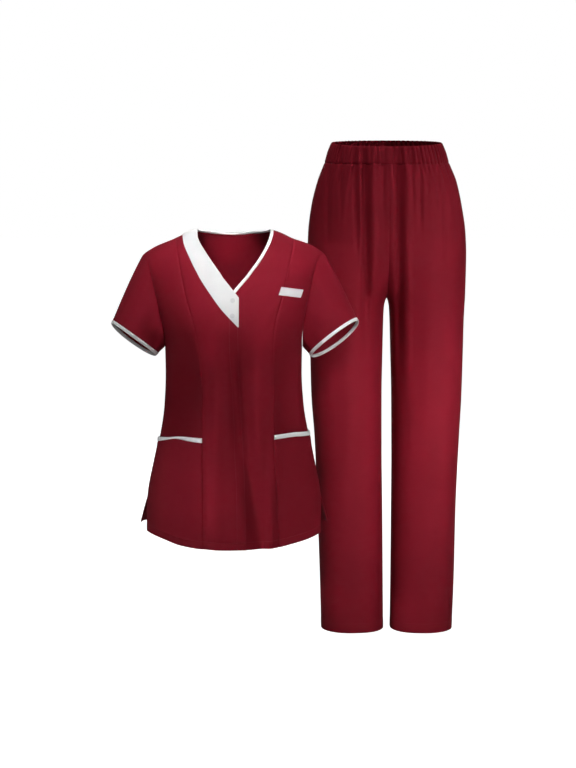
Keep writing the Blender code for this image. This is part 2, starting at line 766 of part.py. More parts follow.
def build_waistband(collection):
    """The gathered elastic casing, one loop closed by a seam at the wearer's right side."""
    count = 4 * BAND_GATHERS
    outers = []
    inners = []
    quarters = (("right", -1, 0), ("left", -1, 1), ("left", 1, 0), ("right", 1, 1))
    for side, face, backwards in quarters:
        share = np.linspace(0, 1, count + 1)
        share = share[::-1] if backwards else share
        seam = waist_height(face, share, "seam")
        edge = waist_height(face, share, "edge")
        z = seam + SEAM + (edge - seam) * np.linspace(0, 1, 3)[:, None]
        share = np.broadcast_to(share, z.shape)
        outer, inner = leg_skins(side, face, share, z, True)
        last = None if side == "right" and face > 0 else -1
        outers.append(outer[:, :last])
        inners.append(inner[:, :last])
    sheet("waistband", np.concatenate(outers, 1), np.concatenate(inners, 1), RED, collection)


def clear_scene():
    for item in list(bpy.data.objects):
        bpy.data.objects.remove(item, do_unlink=True)


def build():
    clear_scene()
    collection = bpy.data.collections.new("medical_scrubs")
    bpy.context.scene.collection.children.link(collection)
    build_back(collection)
    for side in ("right", "left"):
        build_side_front(side, collection)
        build_centre_front(side, collection)
        build_sleeve(side, collection)
        build_pocket(side, collection)
        for face in (-1, 1):
            build_leg(side, face, collection)
    build_neck_bindings(collection)
    build_neck_band(collection)
    build_chest_tab(collection)
    build_snap("snap_upper", 0.0036, -0.1335, collection)
    build_snap("snap_lower", 0.0028, -0.1625, collection)
    build_waistband(collection)


build()
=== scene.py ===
"""Looks of a two-piece medical scrub set: a crossover V-neck top and elastic-waist trousers."""

import math

import bmesh
import bpy
import numpy as np
from mathutils import Matrix, Vector


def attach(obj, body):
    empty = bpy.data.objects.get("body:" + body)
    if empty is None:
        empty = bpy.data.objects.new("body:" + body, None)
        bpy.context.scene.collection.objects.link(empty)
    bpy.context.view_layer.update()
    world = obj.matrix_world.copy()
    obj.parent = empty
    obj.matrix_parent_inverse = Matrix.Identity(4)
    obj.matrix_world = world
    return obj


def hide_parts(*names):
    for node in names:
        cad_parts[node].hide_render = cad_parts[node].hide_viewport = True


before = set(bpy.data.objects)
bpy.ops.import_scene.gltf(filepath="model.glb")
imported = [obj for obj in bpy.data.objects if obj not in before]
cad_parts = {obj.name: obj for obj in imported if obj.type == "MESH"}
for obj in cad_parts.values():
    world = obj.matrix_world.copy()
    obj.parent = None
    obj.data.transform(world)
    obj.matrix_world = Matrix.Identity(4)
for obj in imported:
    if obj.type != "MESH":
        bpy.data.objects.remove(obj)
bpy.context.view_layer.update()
scene = bpy.context.scene


# ----------------------------------------
# The view. A long lens stands four metres in front of the set, a little above its middle, so
# that both garments show straight on.

VIEW_MIDDLE = Vector((0.112, 0.08, -0.317))
VIEW_DISTANCE = 4.0
VIEW_RISE = math.radians(6.0)
SENSOR_MM = 36.0
LENS_MM = 90.58


def show(name, data):
    """Puts a camera, mesh or lamp in the scene under its name."""
    item = bpy.data.objects.new(name, data)
    scene.collection.objects.link(item)
    return item


camera_data = bpy.data.cameras.new("camera")
camera_data.sensor_width = SENSOR_MM
camera_data.lens = LENS_MM
camera = show("camera", camera_data)
back_off = Vector((0, -math.cos(VIEW_RISE), math.sin(VIEW_RISE)))
camera.location = VIEW_MIDDLE + VIEW_DISTANCE * back_off
camera.rotation_euler = (math.pi / 2 - VIEW_RISE, 0, 0)
scene.camera = camera


# ----------------------------------------
# The back of the top: one panel of fine polyester-cotton twill, cut from the shoulder seams to
# a curved hem. It flares past the front below the side vents. Its hem is turned up and stitched.

WALL = 0.0013
SEAM = 0.0003
SEAM_ROLL = 0.0020
HEM_TURN = 0.0150
STITCH_DENT = 0.0005
TURN_FULLNESS = 0.0003
SUPER = 2.3
CHEST = -0.09
SHOULDER = 0.04
BODY_MIDDLE = np.array([0.0, 0.0, -0.35])
DRIFT = 0.00035


def table(columns, *rows):
    """Named columns of lengths given in millimetres, or of plain numbers where the name starts
    with #. Where the others are read against it, the first column rises."""
    named = zip(columns.split(), np.array(rows, float).T)
    return {name.strip("#"): column / (1 if "#" in name else 1000) for name, column in named}


def read(rows, column, at):
    """One column of a table as a smooth curve that never overshoots its rows."""
    places = next(iter(rows.values()))
    values = rows[column]
    run = np.diff(places)
    rise = np.diff(values) / run
    total = rise[:-1] + rise[1:]
    product = rise[:-1] * rise[1:]
    inner = np.where(product > 0, 2 * product / np.where(total == 0, 1, total), 0)
    slope = np.concatenate([rise[:1], inner, rise[-1:]])
    at = np.clip(at, places[0], places[-1])
    i = np.clip(np.searchsorted(places, at, side="right") - 1, 0, len(run) - 1)
    t = (at - places[i]) / run[i]
    ends = values[i] * (1 + 2 * t) * (1 - t) ** 2 + values[i + 1] * t * t * (3 - 2 * t)
    return ends + run[i] * t * (1 - t) * (slope[i] * (1 - t) - slope[i + 1] * t)


def by_side(rows, on_right, at):
    """A table's right or left column, by the wearer's side that each point is on."""
    return np.where(on_right, read(rows, "right", at), read(rows, "left", at))


def ease(value):
    """A soft step from 0 to 1."""
    value = np.clip(value, 0, 1)
    return value * value * (3 - 2 * value)


def dent(way, at, width):
    """1 along a line that lies this far in, fading on both sides of it."""
    return np.exp(-(((way - at) / width) ** 2))


# Cross-sections: half widths to the wearer's right and left, depths to front and back
BODY = table(
    "height right left front back",
    (-640, 179, 183, 120, 117),
    (-600, 178, 182, 119, 117),
    (-525, 171.5, 176.2, 118, 116),
    (-465, 159.5, 165, 115, 111),
    (-418, 148.8, 155.5, 110.5, 104),
    (-350, 138.6, 143.8, 103, 92),
    (-285, 135.6, 139.8, 101.5, 90),
    (-232, 136.4, 140.5, 115, 98),
    (-190, 146, 150, 121.5, 104),
    (-150, 157, 160, 116.5, 108),
    (-110, 170, 173, 103.5, 108),
    (-90, 176, 179, 96.5, 106),
    (-25, 183.6, 187.5, 76, 98.5),
    (40, 190, 195, 48, 90),
)
RIDGE = table(
    "x right left",
    (0, 26.2, 26.2), (12, 25.7, 25.7), (27, 22.7, 22.7), (40, 17.6, 17.6), (60, 6.5, 7),
    (80, 1.5, 3.6), (103, -7.8, -4.5), (119, -15, -12.5), (153, -29, -24.5), (178, -44, -39),
    (195, -56, -51),
)
ARMHOLE = table(
    "height right left",
    (-232, 136.2, 140.5), (-215, 135.6, 140.7), (-157.5, 145.1, 147.5), (-90, 160, 162),
    (-45, 166.5, 170), (0, 174, 178.5), (40, 178.5, 183.5),
)
VENT = table("height #front_turn flare", (-640, 0.27, 16.5), (-600, 0.25, 12.5), (-528, 0, 0))
NECK_BACK = table(
    "x height",
    (-76.1, 40), (-70, 15.8), (-64, 9), (-55, -1.4), (-45, -11.8), (-30, -19.8), (-15, -23.8),
    (2, -24.8), (20, -22.8), (34, -18.2), (48, -9.6), (60, 1.2), (70, 9), (77, 15), (83.2, 40),
)

# The height of the grid's rows at the side, at the princess seams and at the free edges
ROWS = table(
    "#row side princess right_edge left_edge",
    (0, -603, -624.5, -627.5, -627.5),
    (3, -528, -530, -532, -532),
    (7, -412, -412, -413, -413),
    (11, -305, -302, -300, -300),
    (14, -232, -222, -200, -205),
    (17, -175, -160, -128, -142),
    (20, -90, -85, -60, -70),
    (27, 40, 40, 40, 40),
)
VENT_ROW = 3
UNDERARM_ROW = 14
LAST_ROW = 27
ROW_LENGTH = 0.030

# Troughs (negative) and ridges that hang in the cloth, from one end to the other. A low onset
# lets one grow all its way down
BACK_FOLDS = table(
    "x_top z_top x_foot z_foot half_width #onset depth",
    (-60, -220, -90, -900, 26, 1.4, -6),
    (55, -240, 80, -900, 24, 1.4, -5.5),
    (-105, -300, -140, -900, 22, 1.4, 4),
    (110, -310, 145, -900, 24, 1.4, 4),
    (4, -330, -10, -900, 30, 1.4, 4.5),
    (-120, -170, -50, -270, 14, 3, -1.8),
    (125, -165, 60, -280, 15, 3, -2),
)


def fold_depth(folds, x, z):
    """Sum of the folds at a point, each of them running between its two ends."""
    total = np.zeros(np.broadcast(x, z).shape)
    for x_top, z_top, x_foot, z_foot, half_width, onset, depth in zip(*folds.values()):
        run = x_foot - x_top
        drop = z_foot - z_top
        length = math.hypot(run, drop)
        along = ((x - x_top) * run + (z - z_top) * drop) / length**2
        aside = ((x - x_top) * drop - (z - z_top) * run) / length
        across = ease(1 - np.abs(aside / half_width))
        total = total + depth * ease(along * onset) * ease((1 - along) * 3) * across
    return total


def drift(x, z, seed):
    """The slight, slow unevenness of hanging cloth."""
    waves = np.sin(61 * x + 17 * z + seed) + np.sin(-43 * x + 29 * z + 2.3 * seed)
    return DRIFT * (waves + 0.7 * np.sin(104 * x + 47 * z + 1.7 * seed))


def power(value):
    """The cross-section's roundness: a circle's sine or cosine, a little squarer."""
    return np.sign(value) * np.abs(value) ** (2 / SUPER)


def body_place(face, turn, height):
    """A point of the top. face is -1 in front and 1 behind; turn goes from 0 at the wearer's
    right side to pi at the left side. The fronts' folds and hollows are in the next section."""
    across = power(np.cos(turn))
    half = by_side(BODY, across > 0, height)
    depth = read(BODY, "front" if face < 0 else "back", height)
    if face > 0:
        half = half + read(VENT, "flare", height)
    x = -half * across
    bend = math.pi / 2 * np.clip((height - CHEST) / (SHOULDER - CHEST), 0, 1)
    ridge = by_side(RIDGE, x < 0, np.abs(x))
    z = CHEST + np.minimum(height - CHEST, 0) + (ridge - CHEST) * np.sin(bend)
    depth = depth + fold_depth(FRONT_FOLDS if face < 0 else BACK_FOLDS, x, z)
    depth = depth + drift(x, z, 1.0 + face) * ease((CHEST - z) / 0.05)
    if face < 0:
        depth = depth - recess(x, height)
    y = face * depth * power(np.sin(turn)) * np.cos(bend)
    return np.stack(np.broadcast_arrays(x, y, z), axis=-1)


def body_turn(x, height):
    """The turn at which the top's section passes x."""
    share = np.clip(np.abs(x) / by_side(BODY, x < 0, height), 0, 1) ** (SUPER / 2)
    return np.arccos(-np.sign(x) * share)


def unit(vectors):
    """The same directions, each one long."""
    return vectors / np.maximum(np.linalg.norm(vectors, axis=-1, keepdims=True), 1e-15)


def turned(vectors, toward):
    """The vectors, those that point away from toward turned round."""
    return vectors * np.where((vectors * toward).sum(-1, keepdims=True) < 0, -1, 1)


def facings(surface, a, b, outward):
    """Which way a surface function of two parameters looks, on the side that outward gives."""
    step = 1e-4
    across = surface(a + step, b) - surface(a - step, b)
    along = surface(a, b + step) - surface(a, b - step)
    return turned(unit(np.cross(across, along)), outward)


def body_skin(face, turn, height, lift=0.0):
    """Places on the top's outside, lifted off its cloth, and the way each of them looks."""
    places = body_place(face, turn, height)
    facing = facings(lambda t, h: body_place(face, t, h), turn, height, places - BODY_MIDDLE)
    return places + facing * np.asarray(lift)[..., None], facing


def paces(total, step, first=(), last=()):
    """Places from 0 to total an even step apart, with more of them near the two ends."""
    even = np.linspace(0, total, round(total / step) + 1)
    return np.unique(np.round(np.concatenate([even, first, total - np.array(last)]), 6))


EDGE = np.array([0.0004, 0.0010, 0.0018, 0.0028, 0.0042])
HEM_MARKS = np.append(EDGE, [0.0136, 0.0143, 0.0150, 0.0157, 0.0164])
TOP_ROWS = paces(LAST_ROW, 1 / 6, HEM_MARKS / ROW_LENGTH, EDGE / 0.025)


def shares(width, step=0.003):
    """Shares of a width of cloth, closer together beside its two edges."""
    return paces(width, step, EDGE, EDGE) / width


def lengths(places, axis):
    """The way along a grid's points from its first edge."""
    step = np.linalg.norm(np.diff(places, axis=axis), axis=-1)
    start = np.zeros_like(np.take(step, [0], axis=axis))
    return np.concatenate([start, np.cumsum(step, axis=axis)], axis=axis)


def form(name, bm, material):
    """A smooth piece made from a finished bmesh."""
    mesh = bpy.data.meshes.new(name)
    bm.to_mesh(mesh)
    bm.free()
    mesh.shade_smooth()
    mesh.materials.append(material)
    return show(name, mesh)


def panel(name, places, facing, material, wall=WALL, sink=(0, 0, 0, 0), hem=None):
    """A piece of cloth over a grid of places. sink is how many millimetres its foot, top,
    first and last edges roll in at their seams, and hem is how far up its foot is turned."""
    up = lengths(places, 0)
    across = lengths(places, 1)
    depth = np.zeros(up.shape)
    for way, dip in zip((up, up[-1:] - up, across, across[:, -1:] - across), sink):
        depth = depth + dip / 1000 * dent(way, 0, SEAM_ROLL)
    if hem:
        depth = depth + STITCH_DENT * dent(up, hem, 0.0012)
        depth = depth - TURN_FULLNESS * ease((hem - up) / 0.003)
    places = places - facing * depth[..., None]
    rows, columns = up.shape
    bm = bmesh.new()
    bmesh.ops.create_grid(bm, x_segments=columns - 1, y_segments=rows - 1, size=1.0)
    piece = form(name, bm, material)
    mesh = piece.data
    mesh.vertices.foreach_set("co", places.ravel())
    corners = np.empty(len(mesh.loops), np.int32)
    mesh.loops.foreach_get("vertex_index", corners)
    flat = np.stack([across - across[:, columns // 2, None], up], axis=-1).reshape(-1, 2)
    mesh.uv_layers.new(name="cloth").data.foreach_set("uv", flat[corners].ravel())
    row, column = rows // 2, columns // 2
    over = places[row, column + 1] - places[row, column]
    onward = places[row + 1, column] - places[row, column]
    if np.dot(np.cross(over, onward), facing[row, column]) < 0:
        mesh.flip_normals()
    shell = piece.modifiers.new("wall", "SOLIDIFY")
    shell.thickness = wall
    shell.offset = -1
    return piece


def settle(piece, node):
    """The piece stands for its solid: it hangs from the root, and the solid is hidden."""
    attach(piece, "root")
    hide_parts(node)


def add(tree, kind, *values, **settings):
    """A shader node with its inputs set in order, each to a value or to another's output."""
    made = tree.nodes.new("ShaderNode" + kind)
    for name, value in settings.items():
        setattr(made, name, value)
    for socket, value in zip(made.inputs, values):
        if isinstance(value, bpy.types.NodeSocket):
            tree.links.new(value, socket)
        elif value is not None:
            socket.default_value = value
    return made


def new_group(name, inputs, outputs):
    """An empty node group with its named inputs and outputs, and its two end nodes."""
    tree = bpy.data.node_groups.new(name, "ShaderNodeTree")
    for label, kind in inputs.items():
        tree.interface.new_socket(label, in_out="INPUT", socket_type="NodeSocket" + kind)
    for label in outputs:
        tree.interface.new_socket(label, in_out="OUTPUT", socket_type="NodeSocketFloat")
    return tree, tree.nodes.new("NodeGroupInput"), tree.nodes.new("NodeGroupOutput")


def math_of(tree, operation, *values):
    """The result of one sum on shader values."""
    return add(tree, "Math", *values, operation=operation).outputs[0]


RIB = 0.0007

# A fine left-hand twill: slanting ribs crossed by single yarns
weave, given, result = new_group(
    "twill_weave", {"Cloth": "Vector", "Rib": "Float"}, ["Height", "Shade"]
)
apart = add(weave, "SeparateXYZ", given.outputs["Cloth"])
across = math_of(weave, "DIVIDE", apart.outputs["X"], given.outputs["Rib"])
along = math_of(weave, "DIVIDE", apart.outputs["Y"], given.outputs["Rib"])
slant = math_of(weave, "MULTIPLY", math_of(weave, "ADD", across, along), math.pi)
rib = math_of(weave, "ABSOLUTE", math_of(weave, "SINE", slant))
yarns = math_of(weave, "SINE", math_of(weave, "MULTIPLY", along, 4 * math.pi))
height = math_of(weave, "MULTIPLY_ADD", yarns, 0.2, rib)
weave.links.new(height, result.inputs["Height"])
weave.links.new(rib, result.inputs["Shade"])

# Slow, slight changes in how the cloth took its dye, with finer lint in them
uneven, given, result = new_group("dye_drift", {"Place": "Vector"}, ["Drift", "Lint"])
slow = add(uneven, "TexNoise", given.outputs["Place"], None, 14.0, 3.0, 0.5)
fine = add(uneven, "TexNoise", given.outputs["Place"], None, 420.0, 2.0, 0.6)
uneven.links.new(slow.outputs[0], result.inputs["Drift"])
uneven.links.new(fine.outputs[0], result.inputs["Lint"])


def new_finish(name):
    """A new material, its nodes and its shader."""
    material = bpy.data.materials.new(name)
    material.use_nodes = True
    return material, material.node_tree, material.node_tree.nodes["Principled BSDF"]


def dye(tree, share, deep, bright):
    """The base colour, between a deep and a bright shade by the share."""
    colour = add(tree, "Mix", data_type="RGBA")
    tree.links.new(share, colour.inputs[0])
    colour.inputs[6].default_value = deep
    colour.inputs[7].default_value = bright
    tree.links.new(colour.outputs[2], tree.nodes["Principled BSDF"].inputs["Base Color"])


def twill(name, deep, bright, roughness, sheen, sheen_tint, relief):
    """Twill cloth of one dye, from its deepest to its brightest shade."""
    material, tree, shader = new_finish(name)
    cloth = add(tree, "UVMap", uv_map="cloth")
    where = add(tree, "TexCoord")
    ribs = add(tree, "Group", cloth.outputs[0], RIB, node_tree=weave)
    taken = add(tree, "Group", where.outputs["Object"], node_tree=uneven)
    lint = taken.outputs["Lint"]
    mixed = math_of(tree, "MULTIPLY_ADD", ribs.outputs["Shade"], 0.25, taken.outputs["Drift"])
    mixed = math_of(tree, "MULTIPLY_ADD", lint, 0.30, mixed)
    dye(tree, add(tree, "MapRange", mixed, 0.45, 1.05, 0.0, 1.0).outputs[0], deep, bright)
    rough = add(tree, "MapRange", lint, 0.3, 0.7, roughness - 0.06, roughness + 0.06)
    tree.links.new(rough.outputs[0], shader.inputs["Roughness"])
    bump = add(tree, "Bump", relief, 0.00025)
    tree.links.new(ribs.outputs["Height"], bump.inputs["Height"])
    tree.links.new(bump.outputs[0], shader.inputs["Normal"])
    shader.inputs["Specular IOR Level"].default_value = 0.08
    shader.inputs["Sheen Weight"].default_value = sheen
    shader.inputs["Sheen Roughness"].default_value = 0.45
    shader.inputs["Sheen Tint"].default_value = sheen_tint
    return material


red_twill = twill(
    "red_twill", (0.195, 0.0062, 0.0150, 1), (0.225, 0.0078, 0.0185, 1), 0.66, 0.01,
    (1.0, 0.55, 0.60, 1), 0.35,
)

# Lines of stitches are gathered here as the pieces are made, and sewn at the end
red_lines = []


def along_line(at, way, points):
    """The points at these distances along a line of points."""
    return np.stack([np.interp(at, way, points[:, axis]) for axis in range(3)], axis=-1)


def mark_line(lines, places, facing, edge, inset, start=0, stop=None):
    """Adds the line on a grid that lies this far in from its foot, top, first or last edge."""
    if edge in ("first", "last"):
        places, facing = places.swapaxes(0, 1), facing.swapaxes(0, 1)
    if edge in ("top", "last"):
        places, facing = places[::-1], facing[::-1]
    places, facing = places[:, start:stop], facing[:, start:stop]
    way = lengths(places, 0)
    lines.append([
        np.array([along_line(inset, way[:, i], grid[:, i]) for i in range(way.shape[1])])
        for grid in (places, facing)
    ])


# Which way x goes on each of the wearer's sides
SIGN = {"right": -1, "left": 1}


def side_ends(side, rows):
    """Turn and height along a side seam, vent and armhole."""
    height = read(ROWS, "side", rows)
    armhole = body_turn(SIGN[side] * read(ARMHOLE, side, height), height)
    vent = read(VENT, "front_turn", height)
    if side == "left":
        vent = math.pi - vent
    return np.where(rows > UNDERARM_ROW, armhole, vent), height


NECK_ENDS = np.array([-0.0761, 0.0832])
NECK_FROM = 6
NECK_TO = 14
LAST_COLUMN = 20
COLUMN_WIDTH = 0.02
HEM_DROP = 0.018
HEM_RISE = 0.010


def back_grid(rows):
    """Turn and height of the back's points, and the columns that meet its neckline."""
    right, height = side_ends("right", rows)
    left = side_ends("left", rows)[0]
    right = np.where(rows > UNDERARM_ROW, right, 0.0)
    left = np.where(rows > UNDERARM_ROW, left, math.pi)
    neck = body_turn(NECK_ENDS, np.full(2, SHOULDER))
    columns = paces(LAST_COLUMN, 1 / 6, EDGE / COLUMN_WIDTH, EDGE / COLUMN_WIDTH)
    marks = (0, NECK_FROM, NECK_TO, LAST_COLUMN)
    top = np.interp(columns, marks, [right[-1], neck[0], neck[1], left[-1]])
    share = (top - top[0]) / (top[-1] - top[0])
    turn = right[:, None] + (left - right)[:, None] * share
    x = body_place(1, top, np.full(len(top), SHOULDER))[..., 0]
    inside = (x > NECK_ENDS[0] + 1e-4) & (x < NECK_ENDS[1] - 1e-4)
    drop = np.where(inside, read(NECK_BACK, "height", x), SHOULDER) - SHOULDER
    rise = np.clip((rows - UNDERARM_ROW) / (LAST_ROW - UNDERARM_ROW), 0, 1)
    curve = HEM_RISE - HEM_DROP * np.sin(turn[0]) ** 2
    fall = np.clip(1 - rows / VENT_ROW, 0, 1)
    heights = height[:, None] + rise[:, None] ** 1.5 * drop + fall[:, None] * curve
    return turn, heights, (columns >= NECK_FROM) & (columns <= NECK_TO)


back_turn, back_height, back_neck = back_grid(TOP_ROWS)
back_places, back_facing = body_skin(1, back_turn, back_height)
back_panel = panel(
    "back_panel", back_places, back_facing, red_twill,
    sink=(0, 0.7, 0.6, 0.6), hem=HEM_TURN,
)
settle(back_panel, "back")
mark_line(red_lines, back_places, back_facing, "foot", HEM_TURN)


# ----------------------------------------
# The two side fronts: narrow panels from armhole and side seam to the princess seam, which
# shapes the bust and waist. Their lowest part is left open at the side as a vent.

# The share of a fold's depth by which the hem is cut longer there, to hang as one smooth line
HEM_LEVEL = 0.105

HEM = table(
    "x z",
    (-175, -601.9), (-139, -610.5), (-100, -621.5), (-56, -626.8), (-11, -628.2), (30, -628),
    (82, -625.5), (119, -619), (150, -613), (179, -605.2),
)
PRINCESS = table(
    "height right left",
    (-630, 56.3, 94.1), (-512, 57, 90.1), (-408, 58.7, 84.3), (-317, 58.3, 83.5),
    (-252, 62.3, 83.2), (-196, 70.5, 85), (-111, 93.5, 105.1), (0, 112, 123.5),
    (40, 114, 124.5),
)
RECESS = table(
    "height right left",
    (-640, 0, 0), (-530, 3, 3), (-450, 17, 16), (-410, 33, 33), (-350, 30, 30), (-290, 22, 20),
    (-240, 12, 10), (-190, 2, 1), (-160, 0, 0),
)
FRONT_FOLDS = table(
    "x_top z_top x_foot z_foot half_width #onset depth",
    (-2, -200, 94, -900, 30, 1.1, -20),
    (86, -330, 68, -900, 17, 1.5, 12.5),
    (-30, -260, -30, -900, 22, 1, 5),
    (-112, -420, -130, -900, 22, 1, -6),
    (130, -420, 165, -900, 24, 1, -7),
    (-130, -110, -118, -330, 18, 3, -3),
    (138, -110, 128, -330, 18, 3, -3),
    (110, -128, 66, -196, 10, 3, -1.2),
    (4, -205, 12, -470, 17, 3, -9.5),
    (46, -215, 56, -480, 24, 3, 6),
    (-34, -215, -34, -500, 22, 3, 6),
    (-46, -330, -50, -700, 12, 2, -1.6),
)


def recess(x, height):
    """How far a side front is drawn in at a point of it."""
    inner = by_side(PRINCESS, x < 0, height)
    half = (by_side(BODY, x < 0, height) - inner) / 2
    share = (np.abs(x) - inner - half) / half
    return by_side(RECESS, x < 0, height) * np.clip(1 - share**2, 0, 1)


def princess_ends(side, rows):
    """Turn and height along a princess seam, which runs from the shoulder to the hem."""
    height = read(ROWS, "princess", rows)
    return body_turn(SIGN[side] * read(PRINCESS, side, height), height), height


def front_grid(side, ends, rows, across):
    """Turn and height of a front panel's points, from its own far edge to the princess seam."""
    princess_turn, princess_height = princess_ends(side, rows)
    end_turn, end_height = ends(side, rows)
    turn = end_turn[:, None] + (princess_turn - end_turn)[:, None] * across
    height = end_height[:, None] + (princess_height - end_height)[:, None] * across
    foot = body_place(-1, turn[0], height[0])
    level = HEM_LEVEL * fold_depth(FRONT_FOLDS, foot[..., 0], foot[..., 2])
    error = read(HEM, "z", foot[..., 0]) + level - height[0]
    fade = np.clip(1 - rows / VENT_ROW, 0, 1)
    return turn, height + fade[:, None] * error


for side, flat, area in (("right", (0.15, 0.66), 0.080), ("left", (0.13, 0.66), 0.068)):
    turn, height = front_grid(side, side_ends, TOP_ROWS, shares(0.08))
    places, facing = body_skin(-1, turn, height)
    side_front = panel(
        side + "_side_front", places, facing, red_twill,
        sink=(0, 0.7, 0.6, 0.9), hem=HEM_TURN,
    )
    settle(side_front, f"front_{side}_side")


# ----------------------------------------
# The two centre fronts. The wearer's right one laps over the left one down a stitched placket,
# and both are cut away above it to the V neck.

CORNER_ROW = 17
LAP = 0.0026
LAP_FROM = -0.056
LAP_SLOPE = 0.028
PLACKET = 0.0190
LAP_STITCH = 0.0020

NECK_RIGHT = table(
    "height x",
    (-128, 15.6), (-114.4, 4.7), (-100, -7), (-85.8, -18.7), (-72.4, -31.3), (-58, -43),
    (-39, -54.9), (-20.7, -63.9), (-5.5, -68.1), (40, -70.4),
)
EDGE_RIGHT = table("height x", (-630, 29.5), (-430, 24.5), (-186, 15.3), (-128, 15.6))
NECK_LEFT = table(
    "height x",
    (-142, -12.2), (-116, 10.4), (-100, 24.3), (-84.5, 38.5), (-67, 54.1), (-50.4, 64.7),
    (-30, 74.6), (-12.2, 80), (10, 82.9), (40, 83.2),
)
EDGE_LEFT = table("height x", (-630, -12), (-142, -12.2))
FREE_EDGES = {"right": (EDGE_RIGHT, NECK_RIGHT), "left": (EDGE_LEFT, NECK_LEFT)}


def edge_ends(side, rows):
    """Turn and height along a front's free edge, up its neckline to the shoulder."""
    height = read(ROWS, side + "_edge", rows)
    edge, neck = FREE_EDGES[side]
    x = np.where(rows >= CORNER_ROW, read(neck, "x", height), read(edge, "x", height))
    return body_turn(x, height), height


def right_lift(turn, height):
    """How far the wearer's right front stands off to lie over the left one."""
    x = body_place(-1, turn, height)[..., 0]
    return LAP * ease((x - LAP_FROM) / LAP_SLOPE)


for side, flat, area in (("right", (0.12, 0.64), 0.058), ("left", (0.14, 0.66), 0.067)):
    turn, height = front_grid(side, edge_ends, TOP_ROWS, shares(0.09))
    lift = right_lift(turn, height) if side == "right" else 0.0
    places, facing = body_skin(-1, turn, height, lift)
    if side == "right":
        below = ease((CORNER_ROW - 1 - TOP_ROWS) / 1.5)[:, None]
        groove = STITCH_DENT * dent(lengths(places, 1), PLACKET, 0.0018) * below
        places = places - facing * groove[..., None]
        corner = int(np.searchsorted(TOP_ROWS, CORNER_ROW - 1))
        for inset in (PLACKET, LAP_STITCH):
            mark_line(red_lines, places, facing, "first", inset, 0, corner)
    centre_front = panel(
        side + "_centre_front", places, facing, red_twill,
        sink=(0, 0.7, 0, 0.9), hem=HEM_TURN,
    )
    settle(centre_front, f"front_{side}_centre")
    mark_line(red_lines, places, facing, "foot", HEM_TURN)


# ----------------------------------------
# The sleeves: short set-in tubes with one seam under the arm. Each opening is bound with a
# strip of white twill, folded over the raw edge and stitched through.

# The x and z of each opening's outer and inner end, and how far it tilts back
CUFFS = {
    "right": ((-0.2420, -0.1785), (-0.1500, -0.2450), 0.20),
    "left": ((0.2505, -0.1735), (0.1548, -0.2470), 0.25),
}
CUFF_DEPTH = 0.063
CUFF_SAG = 0.004
CUFF_BINDING = 0.0066
SLEEVE_LENGTH = 0.12
TAPE = 0.0004

# Soft folds round each sleeve: places as shares of the way round from under the arm
SLEEVE_FOLDS = table(
    "#x_top #z_top #x_foot #z_foot #half_width #onset depth",
    (0.12, 0, 0.16, 1.3, 0.055, 3, -3),
    (0.25, 0.1, 0.27, 1.3, 0.06, 3, 1.6),
    (0.4, 0.25, 0.36, 1.3, 0.05, 3, -1.2),
    (0.64, 0.15, 0.66, 1.3, 0.055, 3, -1.4),
    (0.86, 0, 0.84, 1.3, 0.05, 3, -2.6),
)

# The same white twill as the neck band and tab, made brighter so that the bindings, which the
# lamps reach less, read as white as the band: painted light
white_tape_painted_light = twill(
    "white_tape_painted_light", (0.86, 0.862, 0.865, 1), (0.91, 0.911, 0.913, 1), 0.70, 0.08, (1, 1, 1, 1), 0.30
)
white_lines = []


def armhole_ring(side, rows):
    """Places and facings round an armhole, from the underarm up the front and back down."""
    turn, height = side_ends(side, rows)
    turn[0] = 0.0 if side == "right" else math.pi
    front = body_skin(-1, turn, height)
    back = body_skin(1, turn[-2::-1], height[-2::-1])
    return [np.concatenate(halves) for halves in zip(front, back)]


def cuff_ring(side, ring):
    """Places round a sleeve's opening, matched to the armhole's, and the way out of it."""
    *ends, tilt = CUFFS[side]
    outer, inner = (np.array([x, 0.0, z]) for x, z in ends)
    way = lengths(ring, 0)
    angle = (2 * math.pi * way / way[-1])[:, None]
    half = (inner - outer) / 2
    out = unit(np.cross(half, [0, 1, 0]))
    out = -np.sign(out[2]) * out
    backward = np.array([0, math.cos(tilt), 0]) + out * math.sin(tilt)
    places = (inner + outer) / 2 + half * np.cos(angle) - backward * CUFF_DEPTH * np.sin(angle)
    return places + out * CUFF_SAG * np.abs(np.sin(angle)), out


def grid_facing(places):
    """The way a closed tube's grid looks, away from its middle line."""
    facing = unit(np.cross(np.gradient(places, axis=1), np.gradient(places, axis=0)))
    middle = places.mean(axis=1, keepdims=True)
    facing *= np.where(((places - middle) * facing).sum() < 0, -1, 1)
    seam = facing[:, :1] + facing[:, -1:]
    facing[:, :1] = seam
    facing[:, -1:] = seam
    return unit(facing)


